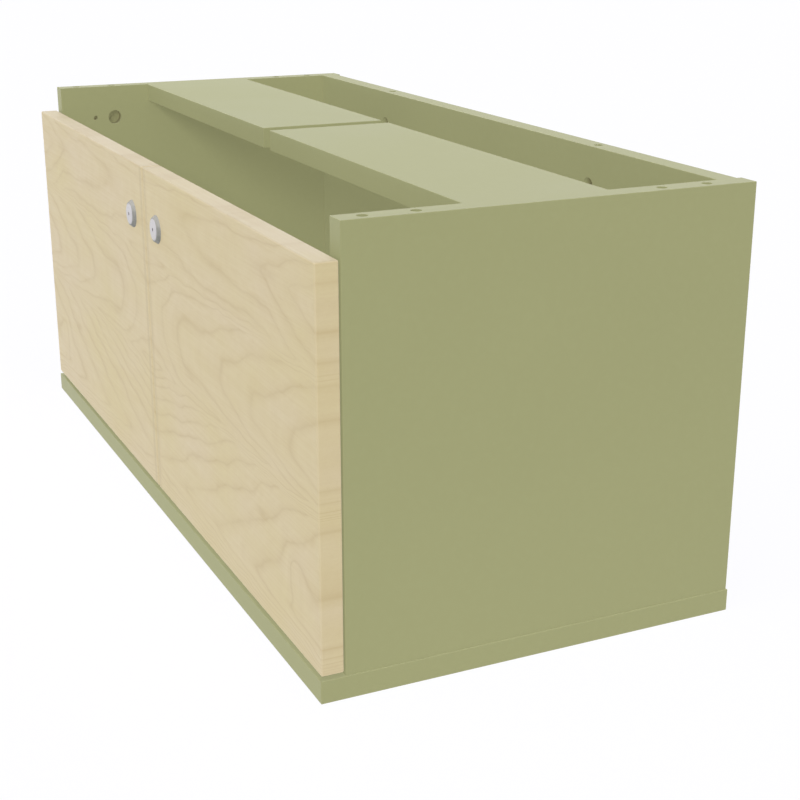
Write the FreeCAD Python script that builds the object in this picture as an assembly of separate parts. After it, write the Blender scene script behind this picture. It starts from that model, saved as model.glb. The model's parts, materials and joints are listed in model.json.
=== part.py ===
"""Two-door cabinet module: an open-topped carcass of painted boards with two overlay birch doors.

Millimetres, +Z up, +X to the right of someone facing the doors, front towards -Y.
The origin is the middle of the base board's underside.
"""
import FreeCAD, Part
import os

# Carcass boards
base_width = 800.0
base_depth = 351.0
cabinet_height = 346.0
board = 18.0
base_overhang = 1.0
back_recess = 4.0
board_edge_round = 0.5

# Top rails and the plate that ties their free ends
rail_width = 117.0
rail_gap = 16.0
tie_plate_thickness = 2.5
tie_plate_lap = 30.0
tie_plate_width = 70.0
tie_screw_inset = 12.0
tie_screw_radius = 2.0
tie_screw_grip = 12.0
tie_head_radius = 3.75
tie_head_height = 2.0

# Doors
door_thickness = 17.5
door_setback = 0.5
door_side_gap = 1.5
door_bottom_gap = 3.4
door_top_drop = 25.5
door_seam = 3.0
door_edge_round = 1.5

# Dowels, cam fittings and their drilling; the joints with the base have insets of their own
dowel_radius = 4.0
dowel_short_end = 10.0
dowel_long_end = 20.0
dowel_room = 1.0
dowel_inset = 39.0
base_dowel_inset = 55.0
rail_dowel_reach = 39.0
back_dowel_x = 300.0
back_dowel_reach = 100.0
cam_inset = 78.0
base_cam_inset = 94.0
back_cam_x = 205.0
base_back_cam_x = 221.0
cam_reach = 34.0
cam_hole_radius = 7.5
cam_hole_depth = 13.5
cam_height = 12.5
cam_slot_length = 9.0
cam_slot_width = 1.8
cam_slot_depth = 2.5
bolt_bore_radius = 4.0
bolt_thread_radius = 3.0
bolt_thread_length = 11.0
bolt_shank_radius = 3.5
bolt_shank_length = 23.0
bolt_neck_radius = 2.0
bolt_head_radius = 3.4
bolt_head_length = 4.0

# Row of system holes along the front of each side board
row_inset = 37.0
row_pitch = 32.0
row_floor = 50.0
row_hole_radius = 2.5
row_hole_depth = 12.0
free_top_holes = 2
plate_holes = 2

# Concealed hinges: cup in the door, single pin, arm on a plate
cup_radius = 17.5
cup_edge = 3.0
cup_bore_depth = 13.6
cup_wall = 0.5
cup_floor = 0.5
cup_flange_thickness = 1.0
cup_flange_half_height = 30.0
cup_flange_reach = 20.0
cup_flange_corner = 6.0
cup_screw_spacing = 45.0
cup_screw_offset = 9.5
cup_screw_radius = 1.75
cup_screw_grip = 10.0
cup_head_radius = 3.5
cup_head_height = 1.6
pin_radius = 1.1
pin_edge = 6.3
pin_depth = 10.5
ear_thickness = 2.8
ear_room = 0.7
ear_cover = 1.9
arm_thickness = 2.2
arm_eye_radius = 2.05
arm_neck_half_height = 3.5
arm_half_height = 7.0
arm_neck_reach = 2.5
arm_tail = 24.0
plate_thickness = 3.0
plate_nose = 15.0
plate_wing_half_height = 22.5
plate_wing_half_width = 6.5
plate_screw_radius = 2.45
plate_screw_grip = 11.0
plate_head_radius = 4.0
plate_head_height = 1.5
clamp_offset = 13.0
clamp_screw_radius = 2.2
clamp_head_radius = 3.8
clamp_head_height = 1.5

# Push-button locks: rosette and button in the door, bolt in a case behind it
lock_inset = 38.0
lock_drop = 48.0
rosette_radius = 12.5
rosette_rim_radius = 10.4
rosette_height = 3.0
barrel_radius = 11.0
button_radius = 9.45
button_proud = 3.6
button_edge_round = 0.8
button_tail = 2.5
button_travel = 10.0
key_dot_radius = 1.5
key_dot_depth = 1.2
stem_half_width = 2.5
stem_half_height = 4.0
stem_reach = 20.5
drive_pin_radius = 1.5
drive_pin_depth = 16.5
latch_travel = 8.0
latch_thickness = 4.0
latch_stem_room = 0.5
latch_top = 19.0
latch_bottom = 7.0
latch_nose_top = 35.0
latch_nose_front = 4.0
latch_nose_rear = 14.0
latch_tip_slope = 5.0
case_depth = 24.0
case_wall = 1.5
case_top = 26.0
case_bottom = 27.5
case_inner_width = 6.0
case_ear = 7.0
case_screw_reach = 20.0
case_screw_radius = 1.6
case_screw_grip = 10.0
case_head_radius = 2.8
case_head_height = 1.6
case_edge_round = 0.8

# Screw heads, as shares of each head's radius or height
head_round_share = 0.45
recess_reach_share = 0.62
recess_half_width_share = 0.13
recess_depth_share = 0.6

# Fits
press_fit = 0.05
running_fit = 0.05
slide_fit = 0.1
loose_fit = 0.3
overrun = 2.0
parallel_share = 0.9

# Places worked out from the sizes above
base_front = -base_depth / 2
door_front = base_front + door_setback
door_back = door_front + door_thickness
side_front = door_back + door_side_gap
side_rear = base_depth / 2 - base_overhang
back_rear = side_rear - back_recess
back_front = back_rear - board
back_middle = back_rear - board / 2
side_outer = base_width / 2 - base_overhang
side_inner = side_outer - board
side_middle = side_outer - board / 2
rail_bottom = cabinet_height - board
rail_middle = cabinet_height - board / 2
door_outer = base_width / 2
door_inner = door_seam / 2
door_bottom = board + door_bottom_gap
door_top = cabinet_height - door_top_drop
dowel_y = base_depth / 2 - dowel_inset
base_dowel_y = base_depth / 2 - base_dowel_inset
cam_y = base_depth / 2 - cam_inset
base_cam_y = base_depth / 2 - base_cam_inset
row_y = side_front + row_inset
row_top = cabinet_height - cam_reach
row_holes = 1 + int((row_top - board - row_floor) / row_pitch)
pin_x = door_outer - pin_edge
pin_y = door_back - pin_depth
cup_x = door_outer - cup_edge - cup_radius
lock_z = door_top - lock_drop
hinge_first_holes = {"upper": free_top_holes, "lower": row_holes - plate_holes}
hinge_heights = {
    name: row_top - row_pitch * first - row_pitch / 2
    for name, first in hinge_first_holes.items()
}

ALONG_X = FreeCAD.Vector(1, 0, 0)
ALONG_Y = FreeCAD.Vector(0, 1, 0)
ALONG_Z = FreeCAD.Vector(0, 0, 1)
ORIGIN = FreeCAD.Vector(0, 0, 0)
HANDS = {"left": -1, "right": 1}


def block(x_range, y_range, z_range):
    """A box between two limits along each axis."""
    low = FreeCAD.Vector(min(x_range), min(y_range), min(z_range))
    high = FreeCAD.Vector(max(x_range), max(y_range), max(z_range))
    size = high - low
    return Part.makeBox(size.x, size.y, size.z, low)


def slab(centre, half):
    """A box about a centre, with its half sizes taken from a vector of any signs."""
    return block(
        (centre.x - half.x, centre.x + half.x),
        (centre.y - half.y, centre.y + half.y),
        (centre.z - half.z, centre.z + half.z),
    )


def rod(radius, start, end):
    """A round bar from one point to another."""
    run = end - start
    return Part.makeCylinder(radius, run.Length, start, run)


def fused(shapes):
    """One solid out of pieces that meet."""
    whole = shapes[0]
    for piece in shapes[1:]:
        whole = whole.fuse(piece)
    return whole.removeSplitter()


def without(shape, cutters):
    """A solid with cutters taken out of it, in one operation."""
    return shape.cut(Part.makeCompound(cutters)).removeSplitter()


def handed(shape, hand):
    """A shape built for the right hand, turned over for the left."""
    if hand > 0:
        return shape
    return shape.mirror(ORIGIN, ALONG_X)


def runs_along(edge, direction):
    """Whether a straight edge is parallel to a direction."""
    return abs(edge.tangentAt(edge.FirstParameter).dot(direction)) > parallel_share


def rounded(shape, radius, direction=None):
    """A box with its edges rounded, or only those along one direction."""
    edges = [edge for edge in shape.Edges if direction is None or runs_along(edge, direction)]
    return shape.makeFillet(radius, edges)


def screw(seat, into, head_radius, head_height, shank_radius, grip):
    """A pan-headed screw with a cross recess; its head sits on a seat point and its shank runs into the work."""
    crown = seat - into * head_height
    head = rod(head_radius, crown, seat)
    rim = [edge for edge in head.Edges if (edge.CenterOfMass - crown).Length < head_height / 2]
    head = head.makeFillet(head_height * head_round_share, rim)
    upright = ALONG_X if abs(into.z) > parallel_share else ALONG_Z
    across = into.cross(upright)
    reach = head_radius * recess_reach_share
    half_width = head_radius * recess_half_width_share
    depth = into * (head_height * recess_depth_share)
    recess = [
        slab(crown, along * reach + wide * half_width + depth)
        for along, wide in ((upright, across), (across, upright))
    ]
    shank = rod(shank_radius, seat, seat + into * grip)
    return fused([without(head, recess), shank])


def dowel_joints():
    """Each dowel's point in the joint, and the way into the board that holds its long end."""
    joints = []
    for hand in HANDS.values():
        inward = ALONG_X * -hand
        for end in (-1, 1):
            joints.append((FreeCAD.Vector(hand * side_middle, end * base_dowel_y, board), ALONG_Z))
            joints.append((FreeCAD.Vector(hand * side_inner, end * rail_dowel_reach, rail_middle), inward))
        joints.append((FreeCAD.Vector(hand * back_dowel_x, back_middle, board), ALONG_Z))
        middle = (board + cabinet_height) / 2
        for height in (middle - back_dowel_reach, middle, middle + back_dowel_reach):
            joints.append((FreeCAD.Vector(hand * side_inner, back_middle, height), inward))
    return joints


def cam_joints():
    """Each cam fitting's point in its joint, the way into the clamped board, and the face it opens to."""
    joints = []
    for hand in HANDS.values():
        inward = ALONG_X * -hand
        for end in (-1, 1):
            joints.append((FreeCAD.Vector(hand * side_middle, end * base_cam_y, board), ALONG_Z, inward))
        joints.append((FreeCAD.Vector(hand * base_back_cam_x, back_middle, board), ALONG_Z, -ALONG_Y))
        joints.append((FreeCAD.Vector(hand * side_inner, 0, rail_middle), inward, -ALONG_Z))
    return joints


def free_cam_joints():
    """The empty cam drillings along the open top, for whatever stands on the carcass."""
    joints = []
    for hand in HANDS.values():
        inward = ALONG_X * -hand
        for end in (-1, 1):
            side_top = FreeCAD.Vector(hand * side_middle, end * cam_y, cabinet_height)
            joints.append((side_top, -ALONG_Z, inward))
        back_top = FreeCAD.Vector(hand * back_cam_x, back_middle, cabinet_height)
        joints.append((back_top, -ALONG_Z, -ALONG_Y))
    return joints


def cam_drilling(joint, into, face, lead):
    """The round pocket for a cam and the bore that its bolt comes through, with a lead in front of it."""
    centre = joint + into * cam_reach
    mouth = centre + face * (board / 2)
    pocket = rod(cam_hole_radius, mouth + face * overrun, mouth - face * cam_hole_depth)
    bore = rod(bolt_bore_radius, joint - into * lead, centre)
    return [pocket, bore]


def bolt_drilling(joint, into):
    """The blind hole for a cam bolt's thread."""
    depth = bolt_thread_length + dowel_room
    return rod(bolt_thread_radius + press_fit, joint + into * overrun, joint - into * depth)


def cam_lock(joint, into, face):
    """A cam: a short drum with a cross slot in its face and a hollow for the bolt's head."""
    centre = joint + into * cam_reach
    mouth = centre + face * (board / 2)
    drum = rod(cam_hole_radius - slide_fit, mouth, mouth - face * cam_height)
    hollow_end = centre + into * bolt_head_length
    hollow = rod(bolt_head_radius + loose_fit, joint + into * bolt_shank_length, hollow_end)
    across = into.cross(face)
    slots = [
        slab(mouth, along * (cam_slot_length / 2) + wide * (cam_slot_width / 2) + face * cam_slot_depth)
        for along, wide in ((into, across), (across, into))
    ]
    return without(drum, [hollow] + slots)


def cam_bolt(joint, into):
    """A cam bolt: thread in one board, shank across the joint, neck and head in the cam."""
    head_end = joint + into * (cam_reach + bolt_head_length / 2)
    head_start = head_end - into * bolt_head_length
    shank_end = joint + into * bolt_shank_length
    return fused([
        rod(bolt_thread_radius, joint - into * bolt_thread_length, joint),
        rod(bolt_shank_radius, joint, shank_end),
        rod(bolt_neck_radius, shank_end, head_start),
        rod(bolt_head_radius, head_start, head_end),
    ])


def dowel(joint, into):
    """A round wooden dowel across a joint."""
    return rod(dowel_radius - slide_fit, joint - into * dowel_short_end, joint + into * dowel_long_end)


def dowel_drilling(joint, into):
    """The two blind holes that a dowel fills, as one bar."""
    start = joint - into * (dowel_short_end + dowel_room)
    return rod(dowel_radius, start, joint + into * (dowel_long_end + dowel_room))


def free_dowel_drilling():
    """The empty dowel holes in the side boards' top edges."""
    depth = dowel_long_end + dowel_room
    holes = []
    for hand in HANDS.values():
        for end in (-1, 1):
            top = FreeCAD.Vector(hand * side_middle, end * dowel_y, cabinet_height)
            holes.append(rod(dowel_radius, top + ALONG_Z * overrun, top - ALONG_Z * depth))
    return holes


def row_drilling():
    """The rows of system holes in the side boards' inner faces."""
    holes = []
    for hand in HANDS.values():
        for count in range(row_holes):
            mouth = FreeCAD.Vector(hand * side_inner, row_y, row_top - row_pitch * count)
            outward = ALONG_X * hand
            holes.append(rod(row_hole_radius, mouth - outward * overrun, mouth + outward * row_hole_depth))
    return holes


def tie_screw_points():
    """Where the tie plate's screws pass through its underside."""
    reach_x = rail_gap / 2 + tie_plate_lap - tie_screw_inset
    reach_y = tie_plate_width / 2 - tie_screw_inset
    underside = rail_bottom - tie_plate_thickness
    return [
        FreeCAD.Vector(hand * reach_x, end * reach_y, underside)
        for hand in HANDS.values() for end in (-1, 1)
    ]


def tie_drilling():
    """The screw holes through the tie plate and into the rails."""
    grip = tie_plate_thickness + tie_screw_grip + dowel_room
    return [
        rod(tie_screw_radius + press_fit, point - ALONG_Z * overrun, point + ALONG_Z * grip)
        for point in tie_screw_points()
    ]


def carcass_drilling():
    """Every hole in the carcass boards."""
    cutters = row_drilling() + free_dowel_drilling() + tie_drilling()
    for joint, into in dowel_joints():
        cutters.append(dowel_drilling(joint, into))
    for joint, into, face in cam_joints():
        cutters += cam_drilling(joint, into, face, 0)
        cutters.append(bolt_drilling(joint, into))
    for joint, into, face in free_cam_joints():
        cutters += cam_drilling(joint, into, face, overrun)
    return cutters


def eased(board_shape, others):
    """A board with its edges rounded, apart from those that meet another board."""
    edges = []
    for edge in board_shape.Edges:
        middle = Part.Vertex(edge.CenterOfMass)
        if all(middle.distToShape(other)[0] > press_fit for other in others):
            edges.append(edge)
    return board_shape.makeFillet(board_edge_round, edges)


def carcass_boards():
    """The base, sides, back and rails, eased along their free edges and drilled."""
    half_depth = base_depth / 2
    half_rail = rail_width / 2
    plain = {
        "base_board": block((-door_outer, door_outer), (-half_depth, half_depth), (0, board)),
        "back_panel": block((-side_inner, side_inner), (back_front, back_rear), (board, cabinet_height)),
    }
    for name, hand in HANDS.items():
        side = block((side_inner, side_outer), (side_front, side_rear), (board, cabinet_height))
        rail = block((rail_gap / 2, side_inner), (-half_rail, half_rail), (rail_bottom, cabinet_height))
        plain[name + "_side"] = handed(side, hand)
        plain[name + "_rail"] = handed(rail, hand)
    drilling = carcass_drilling()
    boards = {}
    for name, shape in plain.items():
        others = [other for other in plain.values() if other is not shape]
        boards[name] = without(eased(shape, others), drilling)
    return boards


def tie_plate():
    """The steel plate that joins the two rails' free ends from below."""
    half_length = rail_gap / 2 + tie_plate_lap
    half_width = tie_plate_width / 2
    plate = block(
        (-half_length, half_length),
        (-half_width, half_width),
        (rail_bottom - tie_plate_thickness, rail_bottom),
    )
    return without(rounded(plate, tie_screw_inset / 2, ALONG_Z), tie_drilling())


def carcass_fittings():
    """The dowels, cams, bolts and screws that hold the carcass together, each kind as one group."""
    tie_grip = tie_plate_thickness + tie_screw_grip
    return {
        "carcass_dowels": [dowel(joint, into) for joint, into in dowel_joints()],
        "cam_locks": [cam_lock(joint, into, face) for joint, into, face in cam_joints()],
        "cam_bolts": [cam_bolt(joint, into) for joint, into, face in cam_joints()],
        "tie_plate_screws": [
            screw(point, ALONG_Z, tie_head_radius, tie_head_height, tie_screw_radius, tie_grip)
            for point in tie_screw_points()
        ],
    }


def cup_screw_points(height):
    """Where a cup's two screws pass through its flange."""
    x = cup_x - cup_screw_offset
    y = door_back + cup_flange_thickness
    return [FreeCAD.Vector(x, y, height + end * cup_screw_spacing / 2) for end in (-1, 1)]


def hinge_cup(height):
    """A hinge cup: a round bowl, a flange on the door's back and two ears for the pin."""
    outer = cup_radius - press_fit
    inner = outer - cup_wall
    rim = FreeCAD.Vector(cup_x, door_back, height)
    bottom = rim - ALONG_Y * (cup_bore_depth - press_fit)
    floor = bottom + ALONG_Y * cup_floor
    face = rim + ALONG_Y * cup_flange_thickness
    flange = block(
        (cup_x - cup_flange_reach, side_inner - door_side_gap),
        (door_back, door_back + cup_flange_thickness),
        (height - cup_flange_half_height, height + cup_flange_half_height),
    )
    bowl = fused([rod(outer, bottom, rim), rounded(flange, cup_flange_corner, ALONG_Y)])
    bowl = bowl.cut(rod(inner, floor, face + ALONG_Y * overrun))
    room = rod(outer, bottom, rim)
    ears = []
    for end in (-1, 1):
        start = height + end * (arm_neck_half_height + ear_room)
        ear = block(
            (pin_x - arm_eye_radius - cup_wall, door_outer),
            (floor.y - cup_floor, pin_y + ear_cover),
            (start, start + end * ear_thickness),
        )
        ears.append(ear.common(room))
    screw_holes = [
        rod(cup_screw_radius + slide_fit, point + ALONG_Y * overrun, point - ALONG_Y * overrun)
        for point in cup_screw_points(height)
    ]
    return without(fused([bowl] + ears), screw_holes + [hinge_axis_bar(height, pin_radius + press_fit / 2)])


def hinge_axis_bar(height, radius):
    """A round bar on a hinge's axis, as long as its pin."""
    reach = arm_neck_half_height + ear_room + ear_thickness
    axis = FreeCAD.Vector(pin_x, pin_y, height)
    return rod(radius, axis - ALONG_Z * reach, axis + ALONG_Z * reach)


def hinge_pin(height):
    """The pin that the door swings on."""
    return hinge_axis_bar(height, pin_radius)


def clamp_point(height):
    """Where the arm's clamping screw sits on the arm."""
    return FreeCAD.Vector(side_inner - plate_thickness - arm_thickness, row_y + clamp_offset, height)


def hinge_arm(height):
    """A cranked arm: an eye on the pin, a neck out of the cup and a strap along the plate."""
    outer = side_inner - plate_thickness
    inner = outer - arm_thickness
    half = arm_thickness / 2
    axis = FreeCAD.Vector(pin_x, pin_y, height)
    lift = ALONG_Z * arm_neck_half_height
    neck_heights = (height - arm_neck_half_height, height + arm_neck_half_height)
    strap_start = side_front + arm_neck_reach
    strap = block(
        (inner, outer),
        (strap_start, row_y + arm_tail),
        (height - arm_half_height, height + arm_half_height),
    )
    arm = fused([
        rod(arm_eye_radius, axis - lift, axis + lift),
        block((inner, pin_x), (pin_y - half, pin_y + half), neck_heights),
        block((inner, outer), (pin_y - half, strap_start + half), neck_heights),
        rounded(strap, arm_half_height / 2, ALONG_X),
    ])
    clamp = clamp_point(height)
    return without(arm, [
        rod(pin_radius + running_fit, axis - lift - ALONG_Z * overrun, axis + lift + ALONG_Z * overrun),
        rod(clamp_screw_radius + slide_fit, clamp - ALONG_X * overrun, clamp + ALONG_X * plate_thickness),
    ])


def plate_screw_points(height):
    """Where a hinge plate's two screws sit on its wings."""
    return [
        FreeCAD.Vector(side_inner - plate_thickness, row_y, height + end * row_pitch / 2)
        for end in (-1, 1)
    ]


def hinge_plate(height):
    """A cross-shaped mounting plate on the side board's inner face."""
    x_range = (side_inner - plate_thickness, side_inner)
    body = block(
        x_range,
        (row_y - plate_nose, row_y + arm_tail),
        (height - arm_half_height, height + arm_half_height),
    )
    wings = block(
        x_range,
        (row_y - plate_wing_half_width, row_y + plate_wing_half_width),
        (height - plate_wing_half_height, height + plate_wing_half_height),
    )
    plate = fused([
        rounded(body, arm_half_height / 2, ALONG_X),
        rounded(wings, plate_wing_half_width / 2, ALONG_X),
    ])
    clamp = clamp_point(height)
    clamp_way = ALONG_X * (arm_thickness + plate_thickness + overrun)
    screw_way = ALONG_X * (plate_thickness + overrun)
    holes = [rod(clamp_screw_radius + press_fit, clamp, clamp + clamp_way)]
    for point in plate_screw_points(height):
        holes.append(rod(row_hole_radius + slide_fit, point - ALONG_X * overrun, point + screw_way))
    return without(plate, holes)


def hinge_screws():
    """The screws of all four hinge plates and of their arms, for the right hand."""
    plate_grip = plate_thickness + plate_screw_grip
    clamp_grip = arm_thickness + plate_thickness - loose_fit
    plate_sizes = (plate_head_radius, plate_head_height, plate_screw_radius, plate_grip)
    clamp_sizes = (clamp_head_radius, clamp_head_height, clamp_screw_radius, clamp_grip)
    plate_screws = []
    clamp_screws = []
    for height in hinge_heights.values():
        plate_screws += [screw(point, ALONG_X, *plate_sizes) for point in plate_screw_points(height)]
        clamp_screws.append(screw(clamp_point(height), ALONG_X, *clamp_sizes))
    return plate_screws, clamp_screws


def lock_point(depth, rise=0.0, aside=0.0):
    """A point of the right-hand lock: behind the door's back face, above its axis and to its right."""
    return FreeCAD.Vector(lock_inset + aside, door_back + depth, lock_z + rise)


def lock_block(aside_range, depth_range, rise_range):
    """A box in the right-hand lock's own directions."""
    return block(
        [lock_inset + aside for aside in aside_range],
        [door_back + depth for depth in depth_range],
        [lock_z + rise for rise in rise_range],
    )


case_outer_width = stem_half_width + latch_stem_room + latch_thickness + latch_stem_room


def case_screw_points():
    """Where a lock case's screws sit on its flange."""
    sides = (-case_inner_width - case_wall - case_ear / 2, case_outer_width + case_wall + case_ear / 2)
    return [
        lock_point(case_wall, end * case_screw_reach, aside)
        for aside in sides for end in (-1, 1)
    ]


def door_panel():
    """The right door, with its hinge cups' bores and its lock's holes."""
    panel = block((door_inner, door_outer), (door_front, door_back), (door_bottom, door_top))
    cutters = [rod(barrel_radius + slide_fit, lock_point(-door_thickness - overrun), lock_point(overrun))]
    for point in case_screw_points():
        grip = case_screw_grip + case_wall + dowel_room
        cutters.append(rod(case_screw_radius + press_fit, point, point - ALONG_Y * grip))
    for height in hinge_heights.values():
        rim = FreeCAD.Vector(cup_x, door_back, height)
        cutters.append(rod(cup_radius, rim + ALONG_Y * overrun, rim - ALONG_Y * cup_bore_depth))
        for point in cup_screw_points(height):
            grip = cup_flange_thickness + cup_screw_grip + dowel_room
            cutters.append(rod(cup_screw_radius + press_fit, point, point - ALONG_Y * grip))
    return without(rounded(panel, door_edge_round), cutters)


def cup_screws():
    """The screws of the right door's hinge cups."""
    grip = cup_flange_thickness + cup_screw_grip
    return [
        screw(point, -ALONG_Y, cup_head_radius, cup_head_height, cup_screw_radius, grip)
        for height in hinge_heights.values() for point in cup_screw_points(height)
    ]


def rosette():
    """The tapered ring round the button and its barrel through the door."""
    front = lock_point(-door_thickness)
    ring = Part.makeCone(rosette_radius, rosette_rim_radius, rosette_height, front, -ALONG_Y)
    barrel = rod(barrel_radius, front, lock_point(0))
    bore = rod(button_radius + slide_fit, front - ALONG_Y * (rosette_height + overrun), lock_point(overrun))
    return fused([ring, barrel]).cut(bore)


def push_button():
    """The round button with its flat stem, drilled for the drive pin."""
    front = lock_point(-door_thickness - button_proud)
    head = rod(button_radius, front, lock_point(-button_tail))
    front_edges = [edge for edge in head.Edges if edge.BoundBox.YMax < front.y + button_edge_round]
    head = head.makeFillet(button_edge_round, front_edges)
    dot = rod(key_dot_radius, front - ALONG_Y * overrun, front + ALONG_Y * key_dot_depth)
    stem = lock_block(
        (-stem_half_width, stem_half_width),
        (-button_tail - overrun, stem_reach),
        (-stem_half_height, stem_half_height),
    )
    seat = rod(
        drive_pin_radius + press_fit / 2,
        lock_point(drive_pin_depth, 0, -stem_half_width - overrun),
        lock_point(drive_pin_depth, 0, stem_half_width + overrun),
    )
    return without(fused([head, stem]), [dot, seat])


def drive_pin():
    """The cross pin in the stem that works the bolt."""
    far = stem_half_width + latch_stem_room + latch_thickness
    return rod(
        drive_pin_radius,
        lock_point(drive_pin_depth, 0, -stem_half_width),
        lock_point(drive_pin_depth, 0, far),
    )


def latch_bolt():
    """The sliding bolt: a plate with a slanted slot for the drive pin, and a nose out of the case."""
    near = stem_half_width + latch_stem_room
    thickness = (near, near + latch_thickness)
    body = lock_block(
        thickness,
        (case_wall + loose_fit, case_depth - case_wall - loose_fit),
        (-latch_bottom, latch_top),
    )
    nose = lock_block(thickness, (latch_nose_front, latch_nose_rear), (latch_top - overrun, latch_nose_top))
    tip_base = latch_nose_top - latch_tip_slope
    tip = Part.Face(Part.makePolygon([
        lock_point(latch_nose_rear, tip_base, near),
        lock_point(latch_nose_rear, latch_nose_top, near),
        lock_point(latch_nose_rear - latch_tip_slope, latch_nose_top, near),
        lock_point(latch_nose_rear, tip_base, near),
    ])).extrude(ALONG_X * latch_thickness)
    slot_radius = drive_pin_radius + slide_fit
    ends = [
        (drive_pin_depth, 0.0),
        (drive_pin_depth - button_travel, latch_travel),
    ]
    far = near + latch_thickness
    through = [
        rod(slot_radius, lock_point(depth, rise, near - overrun), lock_point(depth, rise, far + overrun))
        for depth, rise in ends
    ]
    return without(fused([body, nose]), through + [slot_web(ends, slot_radius, near), tip])


def slot_web(ends, radius, near):
    """The straight middle of the slanted slot, between its two round ends."""
    start = lock_point(ends[0][0], ends[0][1], near - overrun)
    finish = lock_point(ends[1][0], ends[1][1], near - overrun)
    along = finish - start
    across = ALONG_X.cross(along)
    across.normalize()
    side = across * radius
    corners = [start + side, finish + side, finish - side, start - side, start + side]
    return Part.Face(Part.makePolygon(corners)).extrude(ALONG_X * (latch_thickness + overrun + overrun))


def lock_case():
    """The lock's case on the door's back: a flanged box, open where the stem and the bolt pass."""
    widths = (-case_inner_width - case_wall, case_outer_width + case_wall)
    flange = lock_block(
        (widths[0] - case_ear, widths[1] + case_ear),
        (0, case_wall),
        (-case_bottom, case_top),
    )
    shell = lock_block(widths, (0, case_depth), (-case_bottom, case_top))
    cavity = lock_block(
        (-case_inner_width, case_outer_width),
        (case_wall, case_depth - case_wall),
        (-case_bottom + case_wall, case_top - case_wall),
    )
    stem_way = lock_block(
        (-stem_half_width - slide_fit, stem_half_width + slide_fit),
        (-overrun, case_wall + overrun),
        (-stem_half_height - slide_fit, stem_half_height + slide_fit),
    )
    near = stem_half_width + latch_stem_room
    bolt_way = lock_block(
        (near - slide_fit, near + latch_thickness + slide_fit),
        (latch_nose_front - slide_fit, latch_nose_rear + slide_fit),
        (case_top - case_wall - overrun, case_top + overrun),
    )
    through = ALONG_Y * (case_wall + overrun)
    screw_ways = [
        rod(case_screw_radius + slide_fit, point + ALONG_Y * overrun, point - through)
        for point in case_screw_points()
    ]
    body = rounded(shell, case_wall, ALONG_Y)
    rear = lock_point(case_depth).y
    rear_edges = [edge for edge in body.Edges if edge.BoundBox.YMin > rear - case_wall]
    box = fused([
        rounded(flange, case_ear / 2, ALONG_Y),
        body.makeFillet(case_edge_round, rear_edges),
    ])
    return without(box, [cavity, stem_way, bolt_way] + screw_ways)


def lock_screws():
    """The screws that hold the right door's lock case."""
    grip = case_wall + case_screw_grip
    return [
        screw(point, -ALONG_Y, case_head_radius, case_head_height, case_screw_radius, grip)
        for point in case_screw_points()
    ]


def door_nodes(name, hand):
    """One door with everything that hangs on it."""
    nodes = {
        name + "_door": [door_panel()],
        name + "_cup_screws": cup_screws(),
        name + "_lock_rosette": [rosette()],
        name + "_lock_case": [lock_case()],
        name + "_lock_screws": lock_screws(),
        name + "_lock_button": [push_button()],
        name + "_lock_drive_pin": [drive_pin()],
        name + "_latch_bolt": [latch_bolt()],
    }
    for level, height in hinge_heights.items():
        nodes[name + "_" + level + "_hinge_cup"] = [hinge_cup(height)]
        nodes[name + "_" + level + "_hinge_pin"] = [hinge_pin(height)]
    return {node: [handed(shape, hand) for shape in shapes] for node, shapes in nodes.items()}


def hinge_nodes():
    """The hinge pieces that stay on the carcass."""
    nodes = {"hinge_plate_screws": [], "hinge_clamp_screws": []}
    plate_screws, clamp_screws = hinge_screws()
    for name, hand in HANDS.items():
        for level, height in hinge_heights.items():
            nodes[name + "_" + level + "_hinge_plate"] = [handed(hinge_plate(height), hand)]
            nodes[name + "_" + level + "_hinge_arm"] = [handed(hinge_arm(height), hand)]
        nodes["hinge_plate_screws"] += [handed(piece, hand) for piece in plate_screws]
        nodes["hinge_clamp_screws"] += [handed(piece, hand) for piece in clamp_screws]
    return nodes


def main():
    """Build every piece and write each node to its own file."""
    nodes = {name: [shape] for name, shape in carcass_boards().items()}
    nodes["rail_tie_plate"] = [tie_plate()]
    nodes.update(carcass_fittings())
    nodes.update(hinge_nodes())
    for name, hand in HANDS.items():
        nodes.update(door_nodes(name, hand))
    os.makedirs("parts", exist_ok=True)
    for name, shapes in nodes.items():
        whole = shapes[0] if len(shapes) == 1 else Part.makeCompound(shapes)
        whole.exportStep(os.path.join("parts", name + ".step"))


main()
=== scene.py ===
"""Looks of the two-door cabinet module: satin sage paint, birch doors, metal fittings and a white studio."""
import itertools
import json
import math

import bpy
from mathutils import Matrix, Vector


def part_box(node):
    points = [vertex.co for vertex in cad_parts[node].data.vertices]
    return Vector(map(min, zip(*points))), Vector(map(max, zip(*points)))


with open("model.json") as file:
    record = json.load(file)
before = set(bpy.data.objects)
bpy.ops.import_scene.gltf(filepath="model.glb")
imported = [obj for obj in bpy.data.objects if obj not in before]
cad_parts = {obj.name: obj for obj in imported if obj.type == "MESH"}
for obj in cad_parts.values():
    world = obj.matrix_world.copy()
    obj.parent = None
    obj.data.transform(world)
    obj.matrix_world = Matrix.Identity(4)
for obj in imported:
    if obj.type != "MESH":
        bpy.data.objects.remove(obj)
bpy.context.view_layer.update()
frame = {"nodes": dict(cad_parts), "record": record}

millimetres = 1000.0

# Camera, at the photograph's viewing angle
camera_place = Vector((1.26637, -0.52091, 0.54001))
camera_azimuth = math.radians(64.8412)
camera_elevation = math.radians(18.5381)
camera_lens = 66.96
camera_sensor = 36.0

# Floor and surroundings: how white they look, and how much light they give the object
floor_size = 40.0
floor_white = 0.86
floor_bounce = 0.6
floor_glow_share = 0.6
floor_mirror_share = 0.92
sky_white = 1.0
sky_light = 0.10

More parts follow.
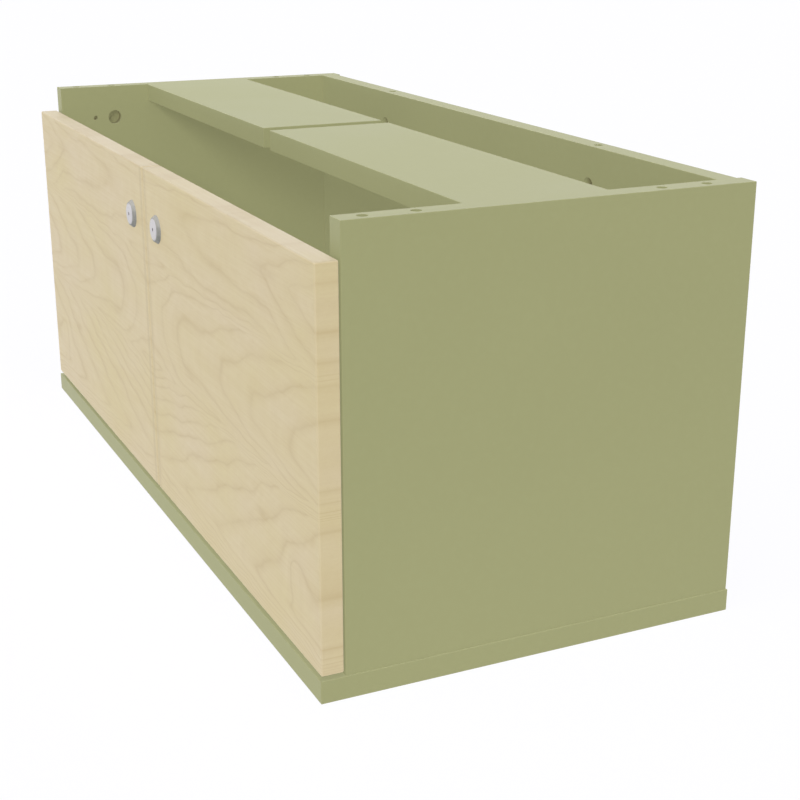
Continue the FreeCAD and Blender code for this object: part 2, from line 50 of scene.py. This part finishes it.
# Lamps: a wide one overhead, a low one at the front right, and fill from six sides and eight corners
top_light = 0.10
top_spread = math.radians(70.0)
top_towards = Vector((0.5, -0.5, 2.6))
key_light = 0.10
key_azimuth = math.radians(62.0)
key_elevation = math.radians(19.5)
key_spread = math.radians(12.0)
fill_light = 0.89
fill_corner_share = 0.61
fill_side_shares = {
    (0, 0, 1): 0.97,
    (0, 0, -1): 0.5,
    (0, -1, 0): 0.55,
    (0, 1, 0): 0.35,
    (1, 0, 0): 0.31,
    (-1, 0, 0): 0.6,
}
fill_side_colours = {(0, 0, 1): (0.98, 0.97, 1.18), (0, -1, 0): (0.99, 1.0, 1.05)}
white = (1.0, 1.0, 1.0)

# Depths in a bore, in millimetres, between which its paint gives way to unpainted board in dark tones of
# painted shade
bore_fade = (2.0, 8.0)

# The values between which most of a noise lies
noise_middle = (0.3, 0.7)

# Door figure, in millimetres on the right door and mirrored on the left: an upper ridge and a middle ridge of
# nested rings that close towards the seam, and a slope of rings that fan out below them
upper_ridge_height = 293.0
upper_first_tip = 120.0
upper_second_tip = 303.0
upper_late_growth = 0.0138
upper_valley = 243.0
upper_top_share = 0.4
middle_ridge_height = 191.0
middle_ridge_fall = 0.03
middle_first_tip = 48.0
middle_tip_step = 75.5
middle_hump = (95.0, 40.0, 0.5)
lower_valley = 143.0
valley_blur = 5.0
slope_top = 141.0
slope_least_depth = -6.0
slope_fan = 3.75
slope_start = 245.0
slope_first_ring = 4.0
slope_step = 45.0
slope_step_growth = 0.5
slope_fold = 52.0
slope_fold_reach = 14.0
slope_fold_depth = 1.5
knot_loop = (356.0, 81.0, 17.0, 24.0)
knot_loop_size = 0.95
dark_knots = ((285.0, 104.0, 11.0, 3.5, 0.9), (316.0, 294.0, 12.0, 4.0, 0.6), (118.0, 161.0, 14.0, 3.0, 0.4))
# A darker band on each door beside the seam: its distance from the seam and its reach
seam_band_offset = 6.5
seam_band_reach = 3.0

# How a ridge falls off on both sides of its crest: two distances from the seam, and the values at them
upper_steep_below = (150.0, 300.0, 1.78, 1.3)
upper_depth_below = (150.0, 300.0, 1.78, 2.6)
upper_steep_above = (200.0, 350.0, 2.6, 1.1)
upper_depth_above = (200.0, 350.0, 0.7, 1.26)
middle_depth_below = (100.0, 270.0, 1.6, 3.3)
middle_steep_above = (100.0, 300.0, 2.1, 1.45)

# The same, where it doesn't change along the ridge
middle_steep_below = 2.3
middle_depth_above = 2.0

# Noises that bend and fade the rings: their stretch per millimetre, and the most they bend, in millimetres
shift_stretch = (0.020, 0.0, 0.028)
drift_stretch = (0.016, 0.0, 0.034)
bend_range = (0.2, 0.8)
most_shift = 12.0
most_drift = 4.5
fade_stretch = (0.012, 0.0, 0.026)
fade_range = (0.32, 0.62)
fade_least = 0.35

# Darkness through one ring, whose line of late wood is at its middle
ring_profile = ((0.0, 0.0), (0.22, 0.10), (0.38, 0.38), (0.48, 1.0), (0.55, 0.40), (0.68, 0.0))

# Finer marks in the birch: stretch or scale, range of the noise and most of the mark's colour
streak_stretch = 0.02
streak_scale = 3.2
streak_share = 0.45
fibre_stretch = (16.0, 300.0, 800.0)
fibre_range = (0.35, 0.75)
fibre_share = 0.14
fleck_stretch = (60.0, 700.0, 1500.0)
fleck_range = (0.68, 0.82)
fleck_share = 0.20
cloud_stretch = (9.0, 9.0, 16.0)
cloud_range = (0.32, 0.68)
line_share = 0.52
seam_band_share = 0.55
# Greying of the upward faces: its most, and the facing range over which it comes in
upward_grey_share = 0.35
upward_range = (0.4, 0.85)
# Lightening of the doors' rounded edges, a painted highlight and worn lacquer: its most and its facing range
wear_and_highlight_share = 0.35
wear_and_highlight_range = (0.97, 0.75)

# Painted shade on a lock, darker towards the bottom: half the height over which it grows, in metres, and its
# share above and below
shade_reach = 0.012
shade_above = -0.2
shade_below = 0.8
# The most that random smudges darken it
smudge_most = 0.4


def linear(red, green, blue):
    """A display colour of 0 to 255 as linear values with full opacity."""
    def channel(value):
        share = value / 255
        return share / 12.92 if share <= 0.04045 else ((share + 0.055) / 1.055) ** 2.4
    return (channel(red), channel(green), channel(blue), 1.0)


# Colours
sage_deep = linear(157, 158, 115)
sage_pale = linear(160, 161, 118)
sage_speck = linear(168, 170, 128)
# Unpainted board in the bores, in dark tones that are painted shade for the dimness deep in a hole
unpainted_shade_deep = linear(112, 107, 73)
unpainted_shade_pale = linear(126, 121, 85)
birch_rose = linear(212, 197, 166)
birch_straw = linear(209, 195, 153)
birch_streak = linear(203, 186, 147)
birch_line = linear(186, 165, 122)
birch_fibre = linear(194, 175, 134)
birch_fleck = linear(174, 148, 104)
birch_seam_band = linear(190, 174, 138)
# Lighter tone for the rounded edges: a painted highlight and worn lacquer
birch_wear_and_highlight = linear(220, 207, 178)
birch_upward_grey = linear(188, 181, 160)
beech_pale = linear(206, 168, 124)
beech_deep = linear(176, 132, 90)
# Lock metals: a plain tone, and a darker one for the painted shade towards their bottom and their smudges
nickel_tones = (linear(184, 182, 176), linear(128, 130, 126))
chrome_tones = (linear(216, 213, 216), linear(206, 203, 207))
steel_tones = ((0.60, 0.59, 0.57, 1.0), (0.50, 0.49, 0.47, 1.0))
zinc_tones = ((0.34, 0.35, 0.36, 1.0), (0.25, 0.26, 0.27, 1.0))


def feed(tree, socket, value):
    """Joins another node's socket to a socket, or sets its value."""
    if isinstance(value, bpy.types.NodeSocket):
        tree.links.new(value, socket)
    else:
        socket.default_value = value


def add_node(tree, kind, inputs, **settings):
    """A new node with its settings and inputs."""
    node = tree.nodes.new(kind)
    for setting, value in settings.items():
        setattr(node, setting, value)
    for socket, value in inputs.items():
        feed(tree, node.inputs[socket], value)
    return node


class Graph:
    """A material's node tree, with short ways to add and join nodes."""

    def __init__(self, name):
        self.material = bpy.data.materials.new(name)
        self.material.use_nodes = True
        self.tree = self.material.node_tree
        self.shader = self.tree.nodes["Principled BSDF"]

    def add(self, kind, inputs, **settings):
        return add_node(self.tree, kind, inputs, **settings)

    def math(self, operation, *values):
        return self.add("ShaderNodeMath", dict(enumerate(values)), operation=operation).outputs[0]

    def vector(self, operation, *values):
        node = self.add("ShaderNodeVectorMath", dict(enumerate(values)), operation=operation)
        return node.outputs["Value" if operation == "LENGTH" else "Vector"]

    def split(self, vector):
        return self.add("ShaderNodeSeparateXYZ", {0: vector}).outputs

    def join(self, **parts):
        return self.add("ShaderNodeCombineXYZ", parts).outputs[0]

    def extreme(self, operation, vector):
        """The least or the most of a vector's three values."""
        x, y, z = self.split(vector)
        return self.math(operation, x, self.math(operation, y, z))

    def coordinates(self):
        """Coordinates in the part's own frame, which no pose changes."""
        return self.add("ShaderNodeTexCoord", {}).outputs["Object"]

    def facing(self):
        """The way that a surface faces in the part's own frame, which no pose changes."""
        normal = self.add("ShaderNodeNewGeometry", {}).outputs["Normal"]
        settings = {"vector_type": "NORMAL", "convert_from": "WORLD", "convert_to": "OBJECT"}
        return self.add("ShaderNodeVectorTransform", {0: normal}, **settings).outputs[0]

    def place(self, scale=(1, 1, 1), shift=(0, 0, 0)):
        """Coordinates, stretched and shifted."""
        inputs = {"Vector": self.coordinates(), "Scale": scale, "Location": shift}
        return self.add("ShaderNodeMapping", inputs).outputs[0]

    def noise(self, place, scale=1.0, detail=2.0, roughness=0.5):
        inputs = {"Vector": place, "Scale": scale, "Detail": detail, "Roughness": roughness}
        return self.add("ShaderNodeTexNoise", inputs).outputs["Fac"]

    def spread(self, value, low, high, to_low, to_high, clamp=True):
        inputs = {"Value": value, "From Min": low, "From Max": high, "To Min": to_low, "To Max": to_high}
        return self.add("ShaderNodeMapRange", inputs, clamp=clamp).outputs["Result"]

    def vary(self, noise, low, high):
        """Values from low to high over the middle of a noise."""
        return self.spread(noise, *noise_middle, low, high)

    def lerp(self, share, first, second):
        return self.add("ShaderNodeMix", {0: share, 2: first, 3: second}, data_type="FLOAT").outputs[0]

    def blend(self, share, first, second):
        return self.add("ShaderNodeMix", {0: share, 6: first, 7: second}, data_type="RGBA").outputs[2]

    def mottle(self, noise, first, second):
        """Two colours, mixed by a noise."""
        return self.blend(self.vary(noise, 0.0, 1.0), first, second)

    def ramp(self, value, stops):
        """A curve of grey values from 0 to 1."""
        node = self.add("ShaderNodeValToRGB", {"Fac": value})
        elements = node.color_ramp.elements
        while len(elements) < len(stops):
            elements.new(1.0)
        for element, (place, level) in zip(elements, stops):
            element.position = place
            element.color = (level, level, level, 1.0)
        return node.outputs["Color"]

    def bump(self, height, strength, distance):
        inputs = {"Height": height, "Strength": strength, "Distance": distance}
        return self.add("ShaderNodeBump", inputs).outputs["Normal"]

    def surface(self, **values):
        for socket, value in values.items():
            feed(self.tree, self.shader.inputs[socket.replace("_", " ")], value)
        return self.material


def bore_depth(graph, low, high):
    """How far a point lies inside a board's box, in millimetres: next to nothing, except in its bores."""
    off = graph.vector("ABSOLUTE", graph.vector("SUBTRACT", graph.coordinates(), (low + high) / 2))
    least = graph.extreme("MINIMUM", graph.vector("SUBTRACT", (high - low) / 2, off))
    return graph.math("MULTIPLY", least, millimetres)


def sage_paint(board):
    """Satin sage-green paint, rolled on a smooth board, whose bores show unpainted board with painted shade
    that deepens further in.
    """
    graph = Graph(f"sage_paint_{board}")
    cloud = graph.noise(graph.place(), scale=3.5, detail=3.0)
    speck = graph.noise(graph.place(), scale=160.0, detail=3.0)
    peel = graph.noise(graph.place(), scale=420.0)
    paint = graph.mottle(cloud, sage_deep, sage_pale)
    paint = graph.blend(graph.spread(speck, 0.45, 0.75, 0.0, 0.10), paint, sage_speck)
    # Painted shade in the bores: dark tones of unpainted board take over with depth
    unpainted_and_shade = graph.mottle(speck, unpainted_shade_deep, unpainted_shade_pale)
    inside = graph.spread(bore_depth(graph, *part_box(board)), *bore_fade, 0.0, 1.0)
    colour = graph.blend(inside, paint, unpainted_and_shade)
    rough = graph.vary(cloud, 0.40, 0.50)
    normal = graph.bump(peel, strength=0.05, distance=0.0002)
    return graph.surface(Base_Color=colour, Roughness=rough, Normal=normal, IOR=1.36)


def door_place(graph):
    """Distance from the seam and height on a door, in millimetres."""
    scaled = graph.vector("MULTIPLY", graph.coordinates(), (millimetres, millimetres, millimetres))
    parts = graph.split(graph.vector("ABSOLUTE", scaled))
    return parts["X"], parts["Z"]


def bell(graph, x, z, middle_x, middle_z, reach_x, reach_z):
    """A round hill of height 1."""
    across = graph.math("DIVIDE", graph.math("SUBTRACT", x, middle_x), reach_x)
    along = graph.math("DIVIDE", graph.math("SUBTRACT", z, middle_z), reach_z)
    far = graph.math("MULTIPLY_ADD", across, across, graph.math("MULTIPLY", along, along))
    return graph.math("EXPONENT", graph.math("MULTIPLY", far, -1.0))


def upright_bell(graph, x, middle, reach):
    """A long hill of height 1, the same all the way up the door."""
    return bell(graph, x, 0.0, middle, 0.0, reach, 1.0)


def ridge(graph, crest, off, below, above):
    """Rings of a ridge whose height falls off on each side by reach, steepness and depth."""
    reach, steep, depth = (graph.spread(off, -1.0, 1.0, low, high) for low, high in zip(below, above))
    share = graph.math("ABSOLUTE", graph.math("DIVIDE", off, reach))
    fall = graph.math("MULTIPLY", graph.math("POWER", share, steep), depth)
    return graph.math("SUBTRACT", crest, fall)


def upper_ridge(graph, x, z):
    """The upper ridge, slow near the seam and quick at the door's far edge."""
    crest = graph.spread(x, upper_first_tip, upper_second_tip, 1.0, 2.0, clamp=False)
    late = graph.math("MAXIMUM", graph.math("SUBTRACT", x, upper_second_tip), 0.0)
    crest = graph.math("MULTIPLY_ADD", late, upper_late_growth, crest)
    off = graph.math("SUBTRACT", z, upper_ridge_height)
    reach = upper_ridge_height - upper_valley
    below = (reach, graph.spread(x, *upper_steep_below), graph.spread(x, *upper_depth_below))
    reach *= upper_top_share
    above = (reach, graph.spread(x, *upper_steep_above), graph.spread(x, *upper_depth_above))
    return ridge(graph, crest, off, below, above)


def middle_ridge(graph, x, z):
    """The middle ridge, blunt near the seam and pointed further out."""
    crest = graph.spread(x, middle_first_tip, middle_first_tip + middle_tip_step, 1.0, 2.0, clamp=False)
    hump_place, hump_reach, hump_size = middle_hump
    hump = upright_bell(graph, x, hump_place, hump_reach)
    crest = graph.math("MULTIPLY_ADD", hump, hump_size, crest)
    top = graph.math("MULTIPLY_ADD", x, -middle_ridge_fall, middle_ridge_height)
    off = graph.math("SUBTRACT", z, top)
    down = graph.math("SUBTRACT", top, lower_valley)
    up = graph.math("SUBTRACT", upper_valley, top)
    below = (down, middle_steep_below, graph.spread(x, *middle_depth_below))
    above = (up, graph.spread(x, *middle_steep_above), middle_depth_above)
    return ridge(graph, crest, off, below, above)


def lower_slope(graph, x, z):
    """Rings that fan out below the ridges and fold back near the door's foot."""
    depth = graph.math("MAXIMUM", graph.math("SUBTRACT", slope_top, z), slope_least_depth)
    along = graph.math("MULTIPLY_ADD", depth, slope_fan, graph.math("SUBTRACT", x, slope_start))
    step = graph.math("MULTIPLY_ADD", depth, slope_step_growth, slope_step)
    rings = graph.math("ADD", graph.math("DIVIDE", along, step), slope_first_ring)
    folded = graph.math("MAXIMUM", graph.math("SUBTRACT", slope_fold, z), 0.0)
    fold = graph.math("DIVIDE", folded, slope_fold_reach)
    return graph.math("MULTIPLY_ADD", graph.math("MULTIPLY", fold, fold), -slope_fold_depth, rings)


def figure(graph, x, z):
    """Ring count over the door: whole numbers are the dark lines of late wood."""
    share = graph.spread(z, lower_valley - valley_blur, lower_valley + valley_blur, 0.0, 1.0)
    rings = graph.lerp(share, lower_slope(graph, x, z), middle_ridge(graph, x, z))
    share = graph.spread(z, upper_valley - valley_blur, upper_valley + valley_blur, 0.0, 1.0)
    rings = graph.lerp(share, rings, upper_ridge(graph, x, z))
    return graph.math("MULTIPLY_ADD", bell(graph, x, z, *knot_loop), knot_loop_size, rings)


def ring_lines(graph, x, z):
    """Ring count over the door, and the darkness of its ring lines and knots."""
    sheet = graph.join(X=x, Z=z)
    drift = graph.noise(graph.vector("MULTIPLY", sheet, drift_stretch))
    shift = graph.noise(graph.vector("MULTIPLY", sheet, shift_stretch), detail=3.0, roughness=0.4)
    bent_x = graph.math("ADD", x, graph.spread(shift, *bend_range, -most_shift, most_shift))
    bent_z = graph.math("ADD", z, graph.spread(drift, *bend_range, -most_drift, most_drift))
    rings = figure(graph, bent_x, bent_z)
    line = graph.ramp(graph.math("FRACT", graph.math("ADD", rings, 0.5)), ring_profile)
    fade = graph.noise(graph.vector("MULTIPLY", sheet, fade_stretch))
    line = graph.math("MULTIPLY", line, graph.spread(fade, *fade_range, fade_least, 1.0))
    for *knot, depth in dark_knots:
        line = graph.math("MULTIPLY_ADD", bell(graph, x, z, *knot), depth, line)
    return rings, line


def birch():
    """Pale rotary-cut birch under matt lacquer, its rings lying across the doors and mirrored at the seam."""
    graph = Graph("birch")
    x, z = door_place(graph)
    rings, line = ring_lines(graph, x, z)
    flow = graph.join(X=graph.math("MULTIPLY", x, streak_stretch), Y=rings)
    streak = graph.noise(flow, scale=streak_scale, detail=4.0, roughness=0.6)
    fibre = graph.noise(graph.place(scale=fibre_stretch), detail=3.0)
    fleck = graph.noise(graph.place(scale=fleck_stretch), detail=1.0)
    cloud = graph.noise(graph.place(scale=cloud_stretch), detail=3.0)
    seam_band = upright_bell(graph, x, seam_band_offset, seam_band_reach)
    # Upward faces are greyer, and get less of the edge highlight
    upward = graph.spread(graph.split(graph.facing())["Z"], *upward_range, 0.0, 1.0)
    # Painted highlight and worn lacquer on the rounded edges, found by how they face; less on upward faces
    most = graph.extreme("MAXIMUM", graph.vector("ABSOLUTE", graph.facing()))
    rounded = graph.spread(most, *wear_and_highlight_range, 0.0, 1.0)
    wear_and_highlight = graph.math("MULTIPLY", rounded, graph.spread(upward, 0.0, 1.0, wear_and_highlight_share, 0.0))
    layers = (
        (graph.vary(streak, 0.0, streak_share), birch_streak),
        (graph.math("MULTIPLY", line, line_share), birch_line),
        (graph.spread(fibre, *fibre_range, 0.0, fibre_share), birch_fibre),
        (graph.spread(fleck, *fleck_range, 0.0, fleck_share), birch_fleck),
        (graph.math("MULTIPLY", seam_band, seam_band_share), birch_seam_band),
        (wear_and_highlight, birch_wear_and_highlight),
        (graph.math("MULTIPLY", upward, upward_grey_share), birch_upward_grey),
    )
    tone = graph.blend(graph.spread(cloud, *cloud_range, 0.0, 1.0), birch_rose, birch_straw)
    for share, colour in layers:
        tone = graph.blend(share, tone, colour)
    rough = graph.vary(fibre, 0.42, 0.54)
    normal = graph.bump(fibre, strength=0.05, distance=0.0002)
    return graph.surface(Base_Color=tone, Roughness=rough, Normal=normal, IOR=1.45)


def spun_metal(name, axis_x, axis_z, plain_tone, shade_and_smudge_tone):
    """Satin metal with fine turning marks about an axis from front to back, with painted shade towards its
    bottom and random smudges.
    """
    graph = Graph(name)
    flat = graph.place(scale=(1.0, 0.0, 1.0), shift=(-axis_x, 0.0, -axis_z))
    marks = graph.noise(graph.join(X=graph.vector("LENGTH", flat)), scale=9000.0)
    smudge = graph.noise(graph.place(), scale=240.0, detail=3.0)
    # Painted shade: the darker tone grows towards the bottom, and random smudges add to it
    lower_shade = graph.spread(graph.split(flat)["Z"], shade_reach, -shade_reach, shade_above, shade_below)
    shade_and_smudge = graph.math("ADD", lower_shade, graph.vary(smudge, 0.0, smudge_most))
    colour = graph.blend(graph.math("MAXIMUM", shade_and_smudge, 0.0), plain_tone, shade_and_smudge_tone)
    rough = graph.vary(marks, 0.24, 0.38)
    normal = graph.bump(marks, strength=0.05, distance=0.00005)
    return graph.surface(Base_Color=colour, Metallic=1.0, Roughness=rough, Normal=normal)


def plated_steel():
    """Pressed steel with dull nickel plating and faint drawing lines."""
    graph = Graph("plated_steel")
    drawn = graph.noise(graph.place(scale=(900.0, 60.0, 900.0)))
    haze = graph.noise(graph.place(), scale=120.0, detail=3.0)
    colour = graph.mottle(haze, *steel_tones)
    rough = graph.vary(drawn, 0.26, 0.42)
    normal = graph.bump(drawn, strength=0.04, distance=0.0001)
    return graph.surface(Base_Color=colour, Metallic=0.55, Roughness=rough, Normal=normal)


def die_cast_zinc():
    """Dull grey die-cast zinc with a slightly grainy skin."""
    graph = Graph("die_cast_zinc")
    grain = graph.noise(graph.place(), scale=900.0, detail=3.0)
    stain = graph.noise(graph.place(), scale=70.0, detail=3.0)
    colour = graph.mottle(stain, *zinc_tones)
    rough = graph.vary(grain, 0.42, 0.58)
    normal = graph.bump(grain, strength=0.10, distance=0.0002)
    return graph.surface(Base_Color=colour, Metallic=0.45, Roughness=rough, Normal=normal)


def beech():
    """Bare beech of the dowels."""
    graph = Graph("beech")
    ray = graph.noise(graph.place(scale=(300.0, 300.0, 40.0)), detail=3.0)
    colour = graph.mottle(ray, beech_pale, beech_deep)
    normal = graph.bump(ray, strength=0.2, distance=0.0002)
    return graph.surface(Base_Color=colour, Roughness=0.7, Normal=normal)


def dress():
    """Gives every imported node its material: boards and locks one of their own, the others their slot's."""
    slots = {piece["node"]: piece["material_slot"] for piece in frame["record"]["subparts"]}
    by_slot = {
        "birch_door": birch(),
        "die_cast_zinc": die_cast_zinc(),
        "plated_steel": plated_steel(),
        "beech": beech(),
    }
    by_node = {}
    for hand in ("left", "right"):
        low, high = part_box(f"{hand}_lock_rosette")
        middle = (low + high) / 2
        axis = (middle.x, middle.z)
        by_node[f"{hand}_lock_rosette"] = spun_metal(f"{hand}_satin_nickel", *axis, *nickel_tones)
        by_node[f"{hand}_lock_button"] = spun_metal(f"{hand}_satin_chrome", *axis, *chrome_tones)
    for name, node in frame["nodes"].items():
        if slots[name] == "painted_board":
            by_node[name] = sage_paint(name)
        material = by_node.get(name) or by_slot[slots[name]]
        for slot in node.material_slots:
            slot.material = material


def sight_rays(tree, straight=1.0, mirrored=1.0):
    """Levels for the rays that show the studio to the camera: straight, or else mirrored or through glass."""
    rays = add_node(tree, "ShaderNodeLightPath", {}).outputs
    share = 0.0
    for kind, level in (("Camera", straight), ("Glossy", mirrored), ("Transmission", mirrored)):
        part = add_node(tree, "ShaderNodeMath", {0: rays[f"Is {kind} Ray"], 1: level}, operation="MULTIPLY")
        most = add_node(tree, "ShaderNodeMath", {0: part.outputs[0], 1: share}, operation="MAXIMUM")
        share = most.outputs[0]
    return share


def seen_or_lit(tree, seen, lit):
    """One value for the rays that show the studio, and another for those that light the object."""
    inputs = {"Value": sight_rays(tree), "To Min": lit, "To Max": seen}
    return add_node(tree, "ShaderNodeMapRange", inputs).outputs["Result"]


def build_floor():
    """A white floor that keeps the object's soft shadow."""
    half = floor_size / 2
    mesh = bpy.data.meshes.new("studio_floor")
    corners = [(-half, -half, 0.0), (half, -half, 0.0), (half, half, 0.0), (-half, half, 0.0)]
    mesh.from_pydata(corners, [], [(0, 1, 2, 3)])
    floor = bpy.data.objects.new("studio_floor", mesh)
    bpy.context.scene.collection.objects.link(floor)
    material = bpy.data.materials.new("studio_floor")
    material.use_nodes = True
    tree = material.node_tree
    tree.nodes.clear()
    matt = add_node(tree, "ShaderNodeBsdfDiffuse", {"Color": seen_or_lit(tree, floor_white, floor_bounce)})
    glow = add_node(tree, "ShaderNodeEmission", {})
    share = sight_rays(tree, floor_glow_share, floor_mirror_share)
    mix = add_node(tree, "ShaderNodeMixShader", {0: share, 1: matt.outputs[0], 2: glow.outputs[0]})
    add_node(tree, "ShaderNodeOutputMaterial", {0: mix.outputs[0]})
    mesh.materials.append(material)


def build_surroundings():
    """White surroundings that give the object a little light."""
    world = bpy.data.worlds.new("studio")
    bpy.context.scene.world = world
    world.use_nodes = True
    tree = world.node_tree
    background = tree.nodes["Background"]
    feed(tree, background.inputs["Color"], (*white, 1.0))
    feed(tree, background.inputs["Strength"], seen_or_lit(tree, sky_white, sky_light))


def direction(azimuth, elevation):
    """The way from the object to a place, by its angles to the right of the front and above the floor."""
    level = math.cos(elevation)
    return Vector((math.sin(azimuth) * level, -math.cos(azimuth) * level, math.sin(elevation)))


def add_sun(name, light, towards):
    """A sun lamp in some direction, which gives a surface that faces it a share of full light."""
    data = bpy.data.lights.new(name, "SUN")
    data.energy = light * math.pi
    lamp = bpy.data.objects.new(name, data)
    lamp.rotation_euler = towards.to_track_quat("Z", "Y").to_euler()
    bpy.context.scene.collection.objects.link(lamp)
    return lamp


def build_top():
    """One wide soft lamp overhead."""
    lamp = add_sun("top_lamp", top_light, top_towards)
    lamp.data.angle = top_spread


def build_fill():
    """Even, shadowless light from the six sides and eight corners, so that the inside isn't too dark."""
    corners_to_a_side = 4
    corner_slant = 1 / math.sqrt(3)
    level = fill_light / (1 + corners_to_a_side * corner_slant * fill_corner_share)
    for side in itertools.product((-1, 0, 1), repeat=3):
        if sum(map(abs, side)) in (1, 3):
            lamp = add_sun("fill", level * fill_side_shares.get(side, fill_corner_share), Vector(side))
            lamp.visible_glossy = False
            lamp.data.color = fill_side_colours.get(side, white)
            lamp.data.use_shadow = False
            lamp.data.cycles.max_bounces = 0


def build_key():
    """A low, soft lamp from the front right, which leaves soft shadows under the rails and on the floor."""
    share_on_doors = math.cos(key_azimuth) * math.cos(key_elevation)
    lamp = add_sun("key", key_light / share_on_doors, direction(key_azimuth, key_elevation))
    lamp.visible_glossy = False
    lamp.data.angle = key_spread


def build_camera():
    """The camera, held level and turned to the photograph's angle."""
    data = bpy.data.cameras.new("camera")
    data.lens = camera_lens
    data.sensor_width = camera_sensor
    camera = bpy.data.objects.new("camera", data)
    back = direction(camera_azimuth, camera_elevation)
    right = Vector((math.cos(camera_azimuth), math.sin(camera_azimuth), 0.0))
    up = back.cross(right)
    turn = Matrix((right, up, back)).transposed().to_4x4()
    camera.matrix_world = Matrix.Translation(camera_place) @ turn
    bpy.context.scene.collection.objects.link(camera)
    bpy.context.scene.camera = camera


dress()
build_floor()
build_surroundings()
build_top()
build_fill()
build_key()
build_camera()
bpy.context.scene.view_settings.view_transform = "Standard"
